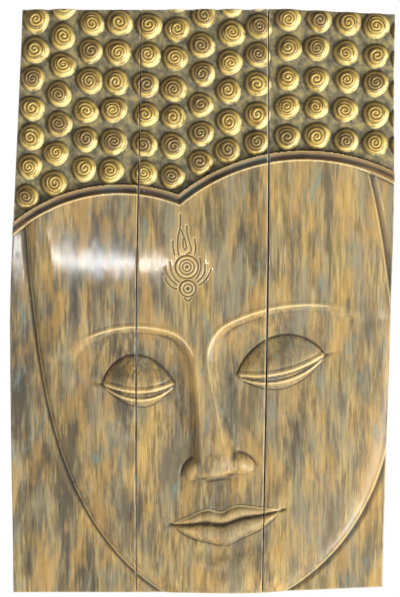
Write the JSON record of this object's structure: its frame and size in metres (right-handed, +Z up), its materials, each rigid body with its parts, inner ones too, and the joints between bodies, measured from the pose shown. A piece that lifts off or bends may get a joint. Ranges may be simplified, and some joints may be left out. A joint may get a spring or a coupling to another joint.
{
  "type": "carved wooden wall panel",
  "caption": "Carved wooden wall panel of upright boards hung edge to edge, with a calm face, rows of snail-shell curls and a flame ornament in low relief",
  "frame": {"origin": "centre of the middle board's flat back, which lies against the wall", "axes": "X to the viewer's right, +Y out of the back into the wall, +Z up the boards; the carving faces -Y"},
  "size_m": [0.5939, 0.0516, 0.8991],
  "materials": {
    "gilded_wood": "dark brown wood rubbed with gold and varnished"
  },
  "bodies": {
    "root": {"left_board": "gilded_wood", "middle_board": "gilded_wood", "right_board": "gilded_wood"}
  },
  "joints": []
}
